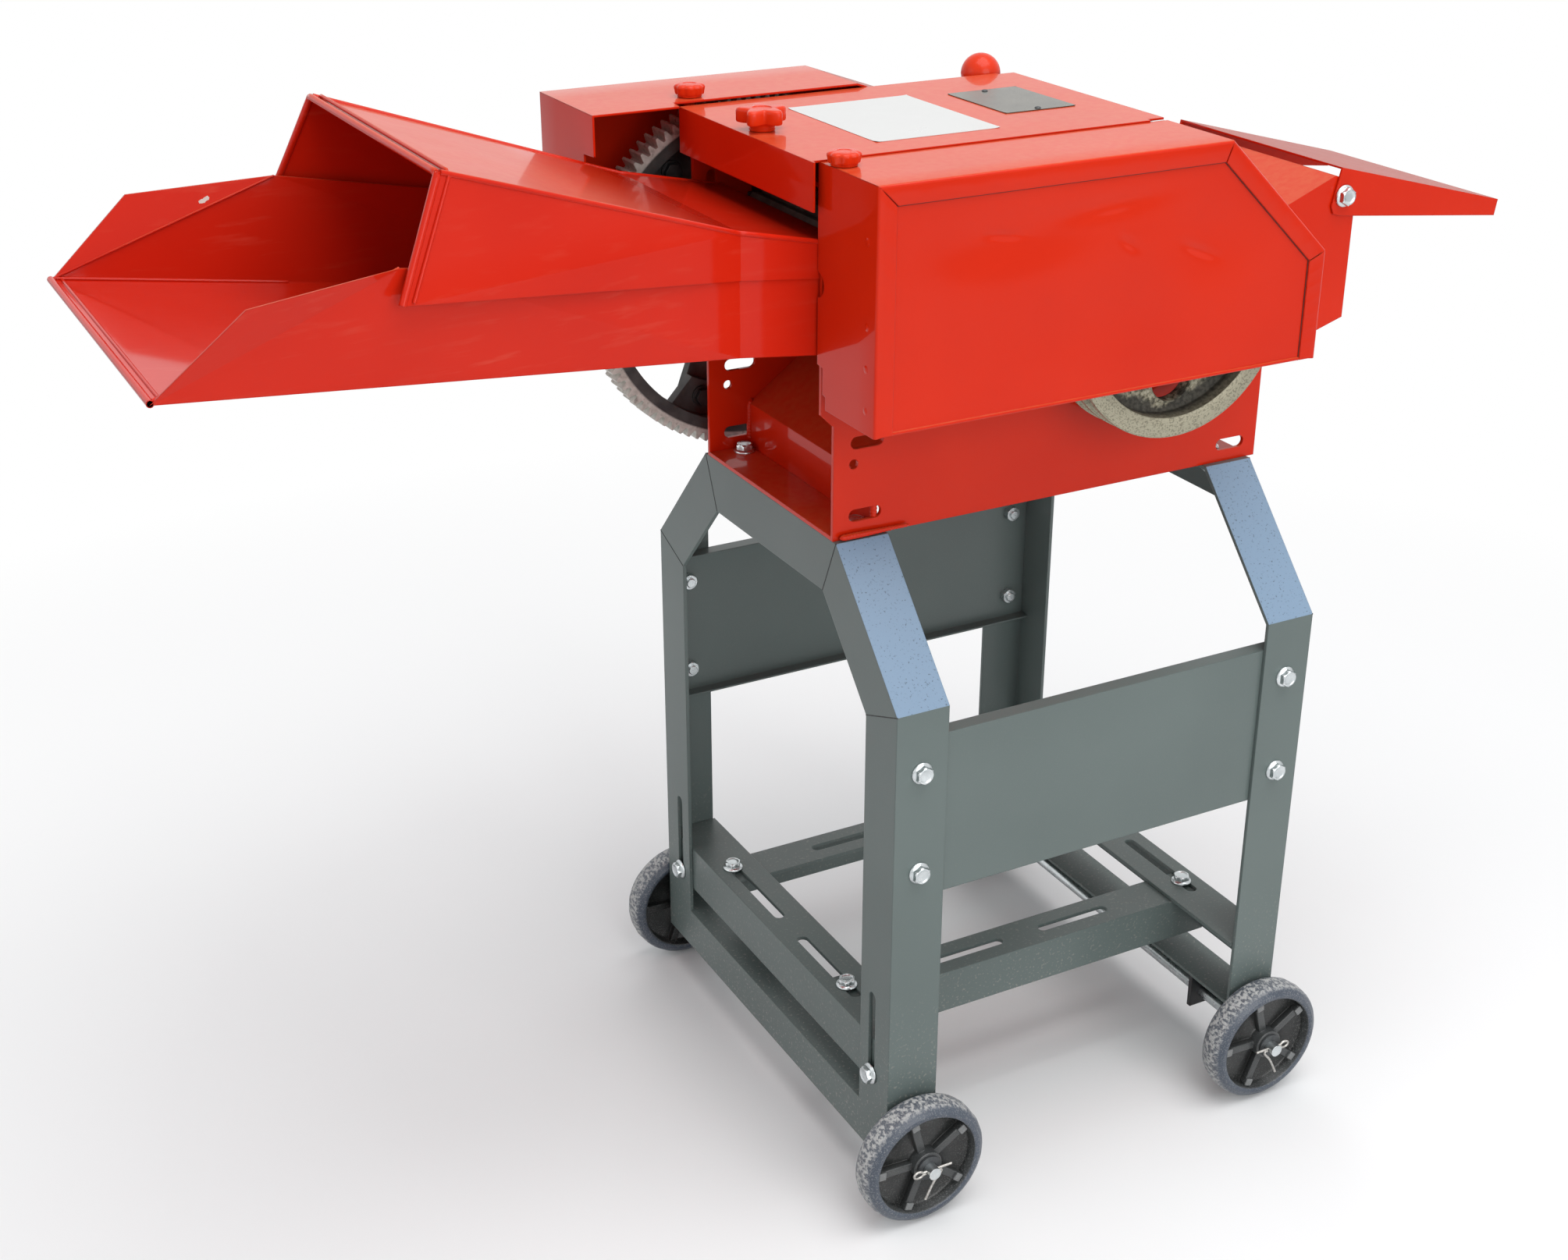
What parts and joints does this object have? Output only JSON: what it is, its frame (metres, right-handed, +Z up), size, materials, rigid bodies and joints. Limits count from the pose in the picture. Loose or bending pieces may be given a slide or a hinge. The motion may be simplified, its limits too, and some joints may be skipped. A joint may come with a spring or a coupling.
{
  "type": "chaff cutter",
  "caption": "Motor-driven chaff cutter on a wheeled angle stand: hooded feed trough, geared rollers, bladed rotor, belt pulley, hinged cover and deflector.",
  "frame": {"origin": "middle of the machine's outer box, on the floor under the wheels", "axes": "+X from the feed trough to the discharge, +Y from the pulley side to the gear side, +Z up"},
  "size_m": [1.05, 0.456, 0.812],
  "materials": {
    "red_paint": "gloss",
    "grey_paint": "satin",
    "black_paint": "satin",
    "zinc_steel": "zinc plated",
    "tool_steel": "ground",
    "dark_iron": "oiled casting",
    "bare_iron": "turned",
    "wheel_plastic": "moulded",
    "knob_plastic": "gloss"
  },
  "bodies": {
    "machine": {"feed_end_frame": "grey_paint", "discharge_end_frame": "grey_paint", "side_panels": "grey_paint", "panel_bolts": "zinc_steel", "body_bolts": "zinc_steel", "shell_bolts": "zinc_steel", "wheel_washers": "zinc_steel", "cotter_pins": "zinc_steel", "axles": "zinc_steel", "cover_hinge_pin": "zinc_steel", "axle_tabs": "black_paint", "front_side_plate": "red_paint", "rear_side_plate": "red_paint", "sills": "red_paint", "casing_sheet": "red_paint", "rotor_casing": "red_paint", "lugs": "red_paint", "feed_trough": "red_paint", "feed_hood": "red_paint", "pulley_guard": "red_paint", "gear_guard": "red_paint", "discharge_chute": "red_paint", "clutch_pivot": "red_paint", "bed_knife_beam": "dark_iron", "bearings": "dark_iron", "bed_knife": "tool_steel"},
    "front_feed_wheel": {"front_feed_wheel": "wheel_plastic"},
    "rear_feed_wheel": {"rear_feed_wheel": "wheel_plastic"},
    "front_discharge_wheel": {"front_discharge_wheel": "wheel_plastic"},
    "rear_discharge_wheel": {"rear_discharge_wheel": "wheel_plastic"},
    "motor_cradle": {"feed_end_motor_bar": "grey_paint", "discharge_end_motor_bar": "grey_paint", "motor_bar_bolts": "zinc_steel"},
    "front_rail": {"front_motor_rail": "grey_paint", "front_rail_bolts": "zinc_steel"},
    "rear_rail": {"rear_motor_rail": "grey_paint", "rear_rail_bolts": "zinc_steel"},
    "rotor": {"main_shaft": "tool_steel", "cutter_head": "dark_iron", "blades": "tool_steel", "blade_bolts": "zinc_steel", "pulley": "bare_iron", "shaft_nut": "zinc_steel"},
    "pinion": {"pinion": "dark_iron"},
    "lower_roller": {"lower_roller": "dark_iron", "lower_roller_gear": "dark_iron", "feed_gear": "dark_iron", "feed_gear_spider": "dark_iron", "feed_gear_bolts": "dark_iron"},
    "roller_float": {"float_blocks": "dark_iron", "roller_springs": "zinc_steel"},
    "upper_roller": {"upper_roller": "dark_iron", "upper_roller_gear": "dark_iron"},
    "clutch_lever": {"clutch_lever": "red_paint", "ball_knob": "knob_plastic"},
    "top_cover": {"top_cover": "red_paint"},
    "star_knob": {"star_knob": "knob_plastic"},
    "pulley_guard_knob": {"pulley_guard_knob": "knob_plastic"},
    "gear_guard_knob": {"gear_guard_knob": "knob_plastic"},
    "deflector": {"deflector": "red_paint"}
  },
  "joints": [
    {"name": "front_feed_wheel_turn", "type": "hinge", "parent": "machine", "child": "front_feed_wheel", "pos_m": [-0.047, 0, 0.052], "axis": [0, 1, 0], "continuous": true},
    {"name": "rear_feed_wheel_turn", "type": "hinge", "parent": "machine", "child": "rear_feed_wheel", "pos_m": [-0.047, 0, 0.052], "axis": [0, 1, 0], "continuous": true},
    {"name": "front_discharge_wheel_turn", "type": "hinge", "parent": "machine", "child": "front_discharge_wheel", "pos_m": [0.276, 0, 0.052], "axis": [0, 1, 0], "continuous": true},
    {"name": "rear_discharge_wheel_turn", "type": "hinge", "parent": "machine", "child": "rear_discharge_wheel", "pos_m": [0.276, 0, 0.052], "axis": [0, 1, 0], "continuous": true},
    {"name": "cradle_height", "type": "slide", "parent": "machine", "child": "motor_cradle", "axis": [0, 0, 1], "range_m": [0, 0.067]},
    {"name": "front_rail_shift", "type": "slide", "parent": "motor_cradle", "child": "front_rail", "axis": [0, 1, 0], "range_m": [-0.013, 0.071]},
    {"name": "rear_rail_shift", "type": "slide", "parent": "motor_cradle", "child": "rear_rail", "axis": [0, 1, 0], "range_m": [-0.083, 0.001]},
    {"name": "rotor_spin", "type": "hinge", "parent": "machine", "child": "rotor", "pos_m": [0.18091, 0, 0.659], "axis": [0, 1, 0], "continuous": true},
    {"name": "pinion_slide", "type": "slide", "parent": "rotor", "child": "pinion", "axis": [0, 1, 0], "range_m": [0, 0.0171]},
    {"name": "lower_roller_turn", "type": "hinge", "parent": "machine", "child": "lower_roller", "pos_m": [-0.015, 0, 0.6475], "axis": [0, 1, 0], "continuous": true},
    {"name": "upper_roller_lift", "type": "slide", "parent": "machine", "child": "roller_float", "axis": [0, 0, 1], "range_m": [0, 0.006], "stiffness_N_per_m": 6000, "springref_m": -0.004, "deforming": ["roller_springs"]},
    {"name": "upper_roller_turn", "type": "hinge", "parent": "roller_float", "child": "upper_roller", "pos_m": [-0.015, 0, 0.7035], "axis": [0, 1, 0], "continuous": true},
    {"name": "clutch_lever_tilt", "type": "hinge", "parent": "machine", "child": "clutch_lever", "pos_m": [0.18091, 0.1105, 0.527], "axis": [-1, 0, 0], "range_deg": [0, 7.2]},
    {"name": "cover_hinge", "type": "hinge", "parent": "machine", "child": "top_cover", "pos_m": [0.195, 0, 0.776], "axis": [0, 1, 0], "range_deg": [0, 105]},
    {"name": "star_knob_turn", "type": "hinge", "parent": "top_cover", "child": "star_knob", "pos_m": [-0.07, 0, 0.79], "axis": [0, 0, 1], "continuous": true},
    {"name": "pulley_guard_knob_turn", "type": "hinge", "parent": "machine", "child": "pulley_guard_knob", "pos_m": [-0.07, -0.113, 0.785], "axis": [0, 0, 1], "continuous": true},
    {"name": "gear_guard_knob_turn", "type": "hinge", "parent": "machine", "child": "gear_guard_knob", "pos_m": [-0.07, 0.113, 0.789], "axis": [0, 0, 1], "continuous": true},
    {"name": "deflector_tilt", "type": "hinge", "parent": "machine", "child": "deflector", "pos_m": [0.3666, 0, 0.71], "axis": [0, 1, 0], "range_deg": [-20, 70]}
  ],
  "couplings": [
    {"joint": "lower_roller_turn", "follows": "rotor_spin", "ratio": -0.48113},
    {"joint": "upper_roller_turn", "follows": "rotor_spin", "ratio": 0.48113},
    {"joint": "pinion_slide", "follows": "clutch_lever_tilt", "m_per_rad": 0.132}
  ]
}
